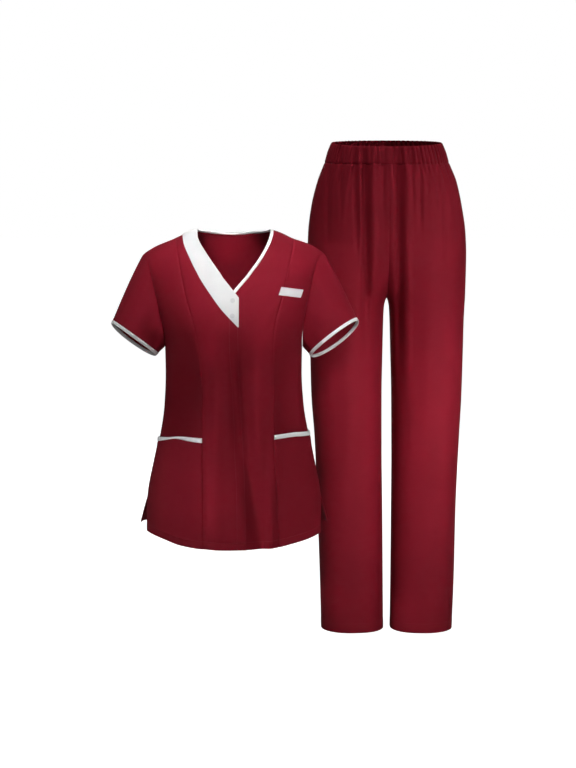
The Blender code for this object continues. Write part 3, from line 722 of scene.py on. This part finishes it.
def sleeve_grid(side, down):
    """Places and facings of a sleeve, with its seam under the arm as the first and last edge."""
    rows = paces(LAST_ROW - UNDERARM_ROW, 1 / 8, EDGE / 0.02) + UNDERARM_ROW
    ring, looks = armhole_ring(side, rows)
    cuff, out = cuff_ring(side, ring)
    reach = cuff - ring
    length = np.linalg.norm(reach, axis=-1, keepdims=True)
    lift = (reach / length * looks).sum(-1, keepdims=True)
    leave = unit(reach / length - looks * lift * (1 - np.clip(2 * lift, 0, 1)))
    ring = ring + leave * SEAM
    leave = leave * 0.2 + reach / length * 0.8
    share = down[:, None, None]
    start = share * (1 - share) ** 2 * leave * length
    finish = share**2 * (1 - share) * reach * 0.5
    places = ring + reach * share**2 * (3 - 2 * share) + start - finish
    facing = grid_facing(places)
    alike = np.clip(2 * (facing[:1] * looks).sum(-1, keepdims=True), 0, 1)
    facing[:1] += (looks - facing[:1]) * alike
    facing = unit(facing)
    way = lengths(places, 1)
    around = way / way[:, -1:]
    down = down[:, None]
    swell = fold_depth(SLEEVE_FOLDS, around, down) + 0.6 * drift(around * 0.3, down * 0.15, 4.0)
    seam = ease(around / 0.04) * ease((1 - around) / 0.04)
    swell = swell * seam * ease(down * 5) * (1 - 0.6 * down**4)
    return places + facing * swell[..., None], facing, out


# The section of a folded strip, from its outer stitched edge round the fold to its inner one:
# how far on towards the free side, as a share, and how far out from the cloth's face
FOLD_SECTION = table(
    "#on out",
    (0, -0.1), (0.04, 0.4), (0.16, 0.6), (0.3, 0.4), (0.5, 0.7), (0.75, 0.7), (0.9, 0.4),
    (0.98, -0.1), (1, -0.7), (0.98, -1.3), (0.9, -1.8), (0.7, -2.1), (0.4, -2.1), (0.12, -2),
    (0, -1.5),
)


def bind_edge(name, node, edge, facing, toward, width, flat, bound):
    """A folded strip that carries the edge of the bound piece on by its width. toward is a
    point on its free side. An end on the shoulder seam is cut along that seam."""
    run = np.gradient(edge, axis=0)
    if np.linalg.norm(edge[0] - edge[-1]) < 1e-4:
        run[[0, -1]] = edge[1] - edge[-2]
    way = np.cross(run, facing) * np.where(np.abs(edge[:, 1:2]) < 1e-4, [1, 0, 1], [1, 1, 1])
    way = turned(unit(way), toward - edge)
    on, out = (column[:, None, None] for column in FOLD_SECTION.values())
    places = edge + way * (on * width + SEAM / 2) + facing * out
    looks = unit(np.cross(np.gradient(places, axis=1), np.gradient(places, axis=0)))
    looks *= np.where((looks[4] * facing).sum() < 0, -1, 1)
    strip = panel(name, places, looks, white_tape_painted_light, TAPE)
    settle(strip, node)
    white_lines.append((edge + way * (width * 0.27 + SEAM / 2) + facing * TAPE, facing))


for side in ("right", "left"):
    down = paces(SLEEVE_LENGTH, 0.0032, EDGE, EDGE) / SLEEVE_LENGTH
    places, facing, out = sleeve_grid(side, down)
    sleeve = panel(side + "_sleeve", places, facing, red_twill, sink=(0.8, 0, 0.5, 0.5))
    settle(sleeve, "sleeve_" + side)
    bind_edge(
        side + "_cuff_binding", "cuff_binding_" + side, places[-1], facing[-1],
        places[-1] + out * 0.02, CUFF_BINDING, (0.43, 0.0150), sleeve.name,
    )


# ----------------------------------------
# The neckline: a broad band of white twill sewn flat down the wearer's right front to a pointed
# foot, and narrow folded bindings round the back neck and down the wearer's left front.

TRIM = 0.0010
OVER_LAP = SEAM + TRIM + 0.0004
NECK_BINDING = 0.0062
BAND_WIDTH = 0.026
BAND_LENGTH = 0.27
BAND_STITCH = 0.0018
WELT = 0.0003
WELT_IN = 0.0060

BAND = table(
    "#share inner_height outer_height outer_x",
    (0, -183.5, -184.5, 13.8),
    (0.25, -128, -149.1, -19.8),
    (0.5, -85.8, -105.3, -51.5),
    (0.625, -64, -83, -65.8),
    (0.75, -39, -56, -81.1),
    (0.875, -3, -11.9, -96.2),
    (1, 40, 40, -100.5),
)

# The same white as the bindings, made darker so that the band and tab, under the shoulder and
# chest pools, read no brighter than them: painted shade
white_twill_painted_shade = twill(
    "white_twill_painted_shade", (0.68, 0.683, 0.687, 1), (0.74, 0.742, 0.746, 1), 0.70, 0.05, (1, 1, 1, 1), 0.30
)

bind_edge(
    "back_neck_binding", "neck_binding_back", back_places[-1][back_neck],
    back_facing[-1][back_neck], (0.003, 0.0, 0.05), NECK_BINDING, (0.24, 0.0144), "back_panel",
)
neck_rows = paces(LAST_ROW - CORNER_ROW, 1 / 6) + CORNER_ROW
bind_edge(
    "front_neck_binding", "neck_binding_front", *body_skin(-1, *edge_ends("left", neck_rows)),
    (-0.06, -0.05, 0.03), NECK_BINDING, (0.26, 0.0144), "left_centre_front",
)

share = paces(1, 1 / 110, EDGE / BAND_LENGTH, EDGE / BAND_LENGTH)
inner_height = read(BAND, "inner_height", share)
inner_rows = np.interp(inner_height, read(ROWS, "right_edge", TOP_ROWS), TOP_ROWS)
inner_turn = edge_ends("right", inner_rows)[0]
outer_height = read(BAND, "outer_height", share)
outer_turn = body_turn(read(BAND, "outer_x", share), outer_height)
across = shares(BAND_WIDTH, 0.0025)
turn = inner_turn[:, None] + (outer_turn - inner_turn)[:, None] * across
height = inner_height[:, None] + (outer_height - inner_height)[:, None] * across
places, facing = body_skin(-1, turn, height, right_lift(turn, height) + OVER_LAP)
run = lengths(places, 1)
welt = WELT * dent(run, WELT_IN, 0.0011) * ease((run[:, -1:] - 0.010) / 0.004)
places = places - facing * welt[..., None]
neck_band = panel(
    "neck_band_piece", places, facing, white_twill_painted_shade, TRIM, sink=(0.4, 0, 0.4, 0.5)
)
settle(
    neck_band, "neck_band"
)
for edge in ("first", "last"):
    mark_line(white_lines, places, facing, edge, BAND_STITCH, 4)


# ----------------------------------------
# The pockets: a patch on each side front, caught in the side and princess seams and the hem,
# with a white binding stitched along its slightly open mouth.

ON_FRONT = SEAM + 0.0002 + TRIM
POCKET_BINDING = 0.0088
POCKET_STAND = 0.0015
POCKET_SPAN = 0.75
MOUTH_STITCH = 0.0014


def over_side_front(side, rows, mouth, slant, crown):
    """Places and facings of a layer on a side front, which spans part of the hollow behind it.
    slant is how far the mouth drops at the side and rises at the princess seam."""
    across = shares(0.08)
    turn, height = front_grid(side, side_ends, rows, across)
    near = (rows / mouth)[:, None] ** 2
    height = height + (slant[0] + (slant[1] - slant[0]) * across) * near
    stand = POCKET_STAND * np.sin(math.pi * across) * near
    stand = stand + POCKET_SPAN * recess(body_place(-1, turn, height)[..., 0], height)
    return body_skin(-1, turn, height, ON_FRONT + stand + crown)


def sew_pocket(side, mouth, slant):
    """One pocket and its binding. mouth is the row of the top's grid that it reaches."""
    strip = POCKET_BINDING / 0.029
    rows = paces(mouth - strip, 1 / 6, HEM_MARKS / ROW_LENGTH, EDGE / ROW_LENGTH)
    places, facing = over_side_front(side, rows, mouth, slant, 0)
    pocket = panel(side + "_pocket", places, facing, red_twill, TRIM, (0, 0.7, 1, 1), HEM_TURN)
    settle(pocket, "pocket_" + side)
    mark_line(red_lines, places, facing, "foot", HEM_TURN)
    rows = mouth - strip + paces(strip, strip / 10)
    crown = 0.0003 + 0.0005 * np.sin(math.pi * (rows - rows[0]) / strip)[:, None]
    places, facing = over_side_front(side, rows, mouth, slant, crown)
    binding = panel(
        side + "_pocket_binding", places, facing, white_tape_painted_light, TRIM, (0.3, 0.3, 0.8, 0.8)
    )
    settle(binding, "pocket_binding_" + side)
    mark_line(white_lines, places, facing, "foot", MOUTH_STITCH)


sew_pocket("right", 7.0, (-0.0030, 0.0060))
sew_pocket("left", 7.4, (0.0, 0.0))


# ----------------------------------------
# The chest tab: a small plain tab of white twill, its edges turned under and stitched flat on
# the wearer's left chest.

TAB_CORNER = np.array([0.0935, -0.1225])
TAB_ALONG = np.array([0.0435, -0.0066])
TAB_UP = np.array([0.0052, 0.0156])
TAB_STITCH = 0.0016

along = shares(0.044, 0.002)[None, :, None]
up = shares(0.0164, 0.0016)[:, None, None]
tab_x, tab_z = np.moveaxis(TAB_CORNER + TAB_ALONG * along + TAB_UP * up, -1, 0)
places, facing = body_skin(-1, body_turn(tab_x, tab_z), tab_z, ON_FRONT)
chest_tab = panel("chest_tab_piece", places, facing, white_twill_painted_shade, TRIM, (0.6, 0.6, 0.6, 0.6))
settle(
    chest_tab, "chest_tab"
)
for edge in ("foot", "top", "first", "last"):
    mark_line(white_lines, places, facing, edge, TAB_STITCH, 3, -3)


# ----------------------------------------
# The snaps: two moulded plastic caps pressed through the neck band, each a low dome inside a
# raised rim. They hold the lap closed.

# Its radius, and its height above the band
SNAP_PROFILE = table(
    "radius rise",
    (4.8, 0.1), (4.8, 0.8), (4.56, 1.3), (4.128, 1.5), (3.648, 1.3), (3.264, 1), (2.64, 1.3),
    (1.68, 1.6), (0.72, 1.7), (0, 1.7),
)


def speckled(name, scale, detail, deep, bright):
    """A finish whose colour varies in fine specks, with its nodes, its shader and the specks."""
    material, tree, shader = new_finish(name)
    where = add(tree, "TexCoord")
    specks = add(tree, "TexNoise", where.outputs["Object"], None, scale, detail, 0.5).outputs[0]
    dye(tree, specks, deep, bright)
    return material, tree, shader, specks


snap_plastic, tree, shader, specks = speckled(
    "snap_plastic", 900.0, 2.0, (0.56, 0.56, 0.57, 1), (0.62, 0.62, 0.63, 1)
)
shine = add(tree, "MapRange", specks, 0.3, 0.7, 0.26, 0.38)
tree.links.new(shine.outputs[0], shader.inputs["Roughness"])


def press_snap(name, node, x, level):
    """One cap, turned from its profile and set square on the band."""
    height = np.array([[level]])
    turn = body_turn(np.array([[x]]), height)
    places, facing = body_skin(-1, turn, height, right_lift(turn, height) + OVER_LAP)
    bm = bmesh.new()
    verts = [bm.verts.new((radius, 0, rise)) for radius, rise in zip(*SNAP_PROFILE.values())]
    edges = [bm.edges.new(pair) for pair in zip(verts, verts[1:])]
    bmesh.ops.spin(
        bm, geom=verts + edges, cent=(0, 0, 0), axis=(0, 0, 1), angle=2 * math.pi, steps=32,
        use_merge=True,
    )
    bmesh.ops.remove_doubles(bm, verts=bm.verts, dist=1e-6)
    rim = [edge for edge in bm.edges if edge.is_boundary]
    bmesh.ops.holes_fill(bm, edges=rim, sides=0)
    bmesh.ops.recalc_face_normals(bm, faces=bm.faces)
    upright = Vector(facing[0, 0]).to_track_quat("Z", "Y").to_matrix().to_4x4()
    bmesh.ops.transform(bm, matrix=Matrix.Translation(places[0, 0]) @ upright, verts=bm.verts)
    settle(form(name, bm, snap_plastic), node)


press_snap("upper_snap", "snap_upper", 0.0036, -0.1335)
press_snap("lower_snap", "snap_lower", 0.0028, -0.1625)


# ----------------------------------------
# The trousers' legs: four panels, a front and a back to each leg, joined at outseam, inseam and
# centre seam. Their tops are gathered into the waistband, and their hems are turned up.

TROUSERS_X = 0.3195
TROUSERS_Y = 0.18
LEG_FOOT = -0.850
CROTCH = -0.1440
WAIST_SEAM = 0.1388
FRONT_RISE = 0.115
BACK_RISE = 0.15
LEG_TURN = 0.0200
LEG_WIDTH = 0.24
LEG_MIDDLE = 0.07
HEM_DIP = 0.0012
BACK_FOLD_SHIFT = 0.012
HIP_GATHERS = 8
HIP_GATHER_DEPTH = 0.0030
BAND_GATHERS = 17
BAND_GATHER_DEPTH = 0.0032

TROUSERS = table(
    "z right left middle gap front back",
    (-852, 183.2, 463.2, 323.4, 7.2, 66, 68),
    (-742, 180.2, 466.9, 323.2, 8.2, 69, 71),
    (-596, 174.8, 469.2, 322.6, 9.4, 72, 75),
    (-445, 168.6, 474.9, 321.5, 10.5, 78, 82),
    (-348, 161.4, 479.5, 320.8, 10.3, 83, 88),
    (-255, 158.8, 481.6, 320.2, 8.4, 88, 95),
    (-191, 156.6, 482.8, 319.9, 6.8, 93, 102),
    (-165, 155.6, 483.8, 319.8, 5.5, 95, 105),
    (-150, 155, 484.6, 319.8, 3, 96.5, 107.5),
    (-144, 154.8, 485, 319.8, 0, 97, 108),
    (-49, 153, 486.8, 319.8, 0, 105, 118),
    (-6, 154.3, 484.8, 319.7, 0, 107, 119),
    (48, 160.8, 476.8, 319.5, 0, 106, 115),
    (101, 173.8, 464.8, 319, 0, 99, 105),
    (139, 188, 449.4, 318.5, 0, 92, 96),
    (162, 194.6, 442.4, 318.2, 0, 87, 91),
    (188, 205.5, 431, 318, 0, 82, 86),
)
LEG_ROWS = table(
    "#row z",
    (0, -850), (2, -610), (4, -350), (6, -200), (7, -144), (9, -76), (12, 30), (15, 138.8),
)

# The waistband's lower seam and upper edge at the front, sides and back
WAIST = table("#turn_share seam edge", (-1, 135, 171.5), (0, 138.8, 181.5), (1, 138.8, 187))
LEG_FOLDS = table(
    "x_top z_top x_foot z_foot half_width #onset depth",
    (196, 200, 193, -60, 9, 5, -4.5),
    (220.5, 200, 220, 20, 7, 4, -4.5),
    (246.5, 210, 256, -70, 9, 5, -6.5),
    (264, 200, 269, 50, 6, 4, -3.5),
    (270, 180, 273, -300, 12, 8, -8.5),
    (287, 170, 289, -240, 12, 6, 4.5),
    (304, 200, 306, 30, 6, 4, -3.5),
    (337, 200, 345, -380, 12, 8, -10),
    (355, 190, 363, -360, 12, 6, 4.5),
    (365, 190, 370, 40, 6, 4, -4),
    (380, 210, 385, -20, 9, 5, -5.5),
    (398, 190, 402, 50, 6, 4, -3.5),
    (418, 190, 423, 30, 7, 4, -3.5),
    (435, 170, 440, -100, 12, 4, -4),
    (402, 50, 410, -600, 26, 3, 2),
    (240, 0, 240, -600, 26, 3, 2),
)


def gather(side, face, share, z, in_band):
    """Fine gathers round the waistband, round between sharp valleys and unevenly spaced, and
    fewer, longer ones that fade out over the hips."""
    place = share if side == "right" else 2 - share
    uneven = 0.75 + 0.30 * np.sin(7.7 * place + 1.3 * face) * np.sin(19.1 * place)
    turns = place * BAND_GATHERS
    turns = turns + 0.20 * np.sin(5.1 * place + face) + 0.16 * np.sin(13.3 * place - 2 * face)
    fine = BAND_GATHER_DEPTH * uneven * (2 * np.abs(np.cos(math.pi * turns)) ** 0.8 - 1)
    if in_band:
        return fine
    fall = np.clip(WAIST_SEAM - z, 0, None)
    turns = place * HIP_GATHERS + 0.2 * np.sin(3.7 * place - face)
    fading = np.exp(-fall / (0.030 + 0.020 * uneven))
    broad = HIP_GATHER_DEPTH * fading * np.cos(2 * math.pi * turns)
    hang = 0.024 + 0.046 * np.abs(np.sin(9.1 * place + face)) ** 3
    return 0.6 * broad + 0.9 * np.exp(-fall / hang) * fine


def leg_place(side, face, share, z, in_band=False):
    """A point of the trousers. share goes from 0 at the outseam to 1 at the inner edge: the
    centre seam above the crotch, the inseam below it."""
    rise = FRONT_RISE if face < 0 else BACK_RISE
    reach = math.pi - np.arccos(1 - np.clip((z - CROTCH) / rise, 0, 1))
    turn = reach * share
    out = read(TROUSERS, side, z)
    inner = read(TROUSERS, "middle", z) + SIGN[side] * read(TROUSERS, "gap", z)
    half = np.abs(inner - out) / (1 - power(np.cos(reach)))
    x = out - SIGN[side] * half * (1 - power(np.cos(turn)))
    depth = read(TROUSERS, "front" if face < 0 else "back", z)
    fold_x = x if face < 0 else 2 * TROUSERS_X - x + BACK_FOLD_SHIFT
    swell = fold_depth(LEG_FOLDS, fold_x, z) + gather(side, face, share, z, in_band)
    swell = swell + drift(x, z * 0.5, 3.0 + face)
    y = TROUSERS_Y + face * (depth + swell) * power(np.sin(turn))
    return np.stack(np.broadcast_arrays(x, y, z), axis=-1)


def leg_skin(side, face, share, z, in_band=False):
    """Places on the outside of the trousers, and the way each of them looks."""
    places = leg_place(side, face, share, z, in_band)
    leg_x = TROUSERS_X + SIGN[side] * LEG_MIDDLE
    outward = (places - np.array([leg_x, TROUSERS_Y, 0.0])) * np.array([1, 1, 0])
    return places, facings(lambda s, h: leg_place(side, face, s, h, in_band), share, z, outward)


def waist_height(face, share, column):
    """Height of the waistband's seam or edge, lowest at the front."""
    return read(WAIST, column, face * np.sin(math.pi / 2 * share))


leg_levels = np.concatenate([
    LEG_FOOT + np.append(0, HEM_MARKS),
    np.arange(-0.828, 0.02, 0.007),
    np.arange(0.02, WAIST_SEAM - 0.005, 0.004),
    WAIST_SEAM - np.append(EDGE[::-1], 0),
])
row_scale = np.linspace(0, 15, 3001)
leg_rows = np.interp(leg_levels, read(LEG_ROWS, "z", row_scale), row_scale)[:, None]
leg_across = paces(LEG_WIDTH, LEG_WIDTH / 112, EDGE, EDGE) / LEG_WIDTH

for side in ("right", "left"):
    for face, word, area in ((-1, "front", 0.235), (1, "back", 0.243)):
        share, z = np.meshgrid(leg_across, leg_levels)
        seam = waist_height(face, share, "seam")
        z = z + (seam - WAIST_SEAM) * np.clip((leg_rows - 12) / 3, 0, 1)
        z = z + face * HEM_DIP * np.sin(math.pi * share) * np.clip(1 - leg_rows / 2, 0, 1)
        places, facing = leg_skin(side, face, share, z)
        leg = panel(
            f"{side}_leg_{word}", places, facing, red_twill,
            sink=(0, 0.9, 0.6, 0.7), hem=LEG_TURN,
        )
        settle(
            leg, f"leg_{side}_{word}"
        )
        mark_line(red_lines, places, facing, "foot", LEG_TURN)


# ----------------------------------------
# The waistband: a casing of the same twill round a broad elastic, which gathers it into fine
# upright ridges. Its one seam lies at the wearer's right side.

BAND_WALL = 0.0020
BAND_HEIGHT = 0.040

band_strips = []
for side, face, step in (("right", -1, 1), ("left", -1, -1), ("left", 1, 1), ("right", 1, -1)):
    share = np.linspace(0, 1, 10 * BAND_GATHERS + 1)[::step]
    seam = waist_height(face, share, "seam")
    edge = waist_height(face, share, "edge")
    level = paces(BAND_HEIGHT, 0.004, EDGE, EDGE) / BAND_HEIGHT
    z = seam + SEAM + (edge - seam) * level[:, None]
    strip = leg_skin(side, face, np.broadcast_to(share, z.shape), z, True)
    stop = None if (side, face) == ("right", 1) else -1
    band_strips.append([part[:, :stop] for part in strip])
places, facing = (np.concatenate(parts, axis=1) for parts in zip(*band_strips))
waistband = panel(
    "waistband_piece", places, facing, red_twill, BAND_WALL, (0.9, 1.1, 0.3, 0.3)
)
settle(waistband, "waistband")


# ----------------------------------------
# The sewing: lockstitch in matching thread along every hem, binding, placket and tab. Each
# stitch is a short length of thread, half sunk in the cloth.

STITCH = 0.0024
STITCH_PITCH = 0.0031
THREAD = 0.00022

# A single stitch is a spindle along x
bm = bmesh.new()
bmesh.ops.create_uvsphere(bm, u_segments=6, v_segments=4, radius=1.0)
bmesh.ops.scale(bm, vec=(THREAD, THREAD, STITCH / 2), verts=bm.verts)
bmesh.ops.rotate(bm, matrix=Matrix.Rotation(math.pi / 2, 3, "Y"), verts=bm.verts)
stitch = bpy.data.meshes.new("stitch")
bm.to_mesh(stitch)
bm.free()
stitch_corners = np.array([vert.co for vert in stitch.vertices])


def sew(name, lines, material):
    """Every stitch of one thread, joined as one piece: a stitch is doubled until there are
    enough of them, and then each is placed on its line."""
    middles, turns = [], []
    for line, look in lines:
        way = lengths(line, 0)
        at = np.arange(STITCH_PITCH / 2, way[-1], STITCH_PITCH)
        along = unit(along_line(at + 2e-4, way, line) - along_line(at - 2e-4, way, line))
        out = along_line(at, way, look)
        out = unit(out - along * (out * along).sum(-1, keepdims=True))
        middles.append(along_line(at, way, line))
        turns.append(np.stack([along, np.cross(out, along), out], axis=1))
    placed = np.concatenate(middles)[:, None] + stitch_corners @ np.concatenate(turns)
    bm = bmesh.new()
    bm.from_mesh(stitch)
    while 3 * len(bm.verts) < placed.size:
        bmesh.ops.duplicate(bm, geom=bm.verts[:] + bm.edges[:] + bm.faces[:])
    bm.verts.ensure_lookup_table()
    bmesh.ops.delete(bm, geom=bm.verts[placed.size // 3:], context="VERTS")
    piece = form(name, bm, material)
    piece.data.vertices.foreach_set("co", placed.ravel())
    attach(piece, "root")


# Twisted polyester thread, a little glossier than the cloth
for word, lines, slot, deep, bright in (
    ("red", red_lines, "red_cloth", (0.264, 0.0128, 0.0272, 1), (0.33, 0.016, 0.034, 1)),
    ("white", white_lines, "white_trim", (0.68, 0.68, 0.688, 1), (0.85, 0.85, 0.86, 1)),
):
    thread, _, shader, _ = speckled(word + "_thread", 1500.0, 1.0, deep, bright)
    shader.inputs["Roughness"].default_value = 0.45
    sew(word + "_stitching", lines, thread)


# ----------------------------------------
# The studio: a pale floor below the hems, a white room, a broad soft light overhead, two weaker
# ones in front and one behind, a strip at each side, and nine narrow soft pools that pick out the
# shoulders, chest, neckline, centre ridges, hem and trousers.

FLOOR = -0.90
FLOOR_GREY = (0.50, 0.50, 0.50, 1)
ROOM_LIGHT = 0.04
WHITE = (1, 1, 1, 1)
SET_MIDDLE = (0.1, 0.0, -0.3)

# Each lamp's place, aim, width, height, watts and the spread of its beam in degrees
for name, place, aim, width, height, power_w, spread in (
    ("overhead", (0.1, -0.3, 2.4), SET_MIDDLE, 1, 1, 35, 180),
    ("front", (0.1, -3.2, 0.1), SET_MIDDLE, 1.6, 1.6, 9, 180),
    ("front_right", (1.7, -2.8, 0.1), SET_MIDDLE, 1.2, 1.2, 7, 180),
    ("shoulder", (0, -2, 1.2), (-0.12, -0.05, -0.05), 0.25, 0.25, 0.165, 8.5),
    ("chest", (0.3, -2, 1.2), (0.10, -0.07, -0.08), 0.25, 0.25, 0.19, 9),
    ("neck", (-0.2, -1.5, 0.4), (-0.01, 0.09, 0), 0.05, 0.02, 0.03, 5),
    ("ridge_right", (-0.037, -2.4, 0.1), (-0.037, -0.11, -0.36), 0.03, 0.42, 0.019, 2.5),
    ("ridge_left", (0.054, -2.4, 0.1), (0.056, -0.11, -0.31), 0.03, 0.34, 0.012, 2.5),
    ("hem", (-1.7, -1.2, 0.1), (0.02, -0.10, -0.55), 0.25, 0.25, 0.10, 7.5),
    ("low_right", (1.4, -1.9, 0), (0.46, 0.1, -0.26), 0.4, 0.4, 0.47, 15),
    ("legs", (1.2, -2.2, -0.3), (0.37, 0.1, -0.58), 0.5, 0.5, 0.52, 15),
    ("hips", (2, -0.8, 0.2), (0.35, 0.09, 0.06), 0.25, 0.25, 0.11, 12),
    ("behind", (0.1, 3.2, 0.4), SET_MIDDLE, 1.6, 1.6, 24, 180),
    ("strip_right", (2.2, 0, -0.1), (0.2, 0.05, -0.3), 0.5, 1.8, 2, 180),
    ("strip_left", (-1.9, 0.3, -0.1), (0.1, 0.05, -0.3), 0.5, 1.8, 2, 180),
):
    light = bpy.data.lights.new(name, "AREA")
    light.shape = "RECTANGLE"
    light.size = width
    light.size_y = height
    light.energy = power_w
    light.spread = math.radians(spread)
    lamp = show(name, light)
    lamp.location = place
    lamp.rotation_euler = (Vector(aim) - Vector(place)).to_track_quat("-Z", "Y").to_euler()

pale_floor, tree, shader = new_finish("pale_floor")
shader.inputs["Base Color"].default_value = FLOOR_GREY
shader.inputs["Roughness"].default_value = 0.9
shader.inputs["Specular IOR Level"].default_value = 0.0
shader.inputs["Emission Color"].default_value = WHITE
seen = add(tree, "LightPath")
tree.links.new(seen.outputs["Is Camera Ray"], shader.inputs["Emission Strength"])
bm = bmesh.new()
bmesh.ops.create_grid(bm, x_segments=1, y_segments=1, size=30.0)
bmesh.ops.translate(bm, vec=(0, 0, FLOOR), verts=bm.verts)
floor = form("floor", bm, pale_floor)

world = bpy.data.worlds.new("white_room")
world.use_nodes = True
scene.world = world
room = world.node_tree
background = room.nodes["Background"]
seen = add(room, "LightPath")
strength = add(room, "MapRange", seen.outputs["Is Camera Ray"], 0.0, 1.0, ROOM_LIGHT, 1.0)
room.links.new(strength.outputs[0], background.inputs["Strength"])
background.inputs["Color"].default_value = WHITE
scene.view_settings.view_transform = "Standard"
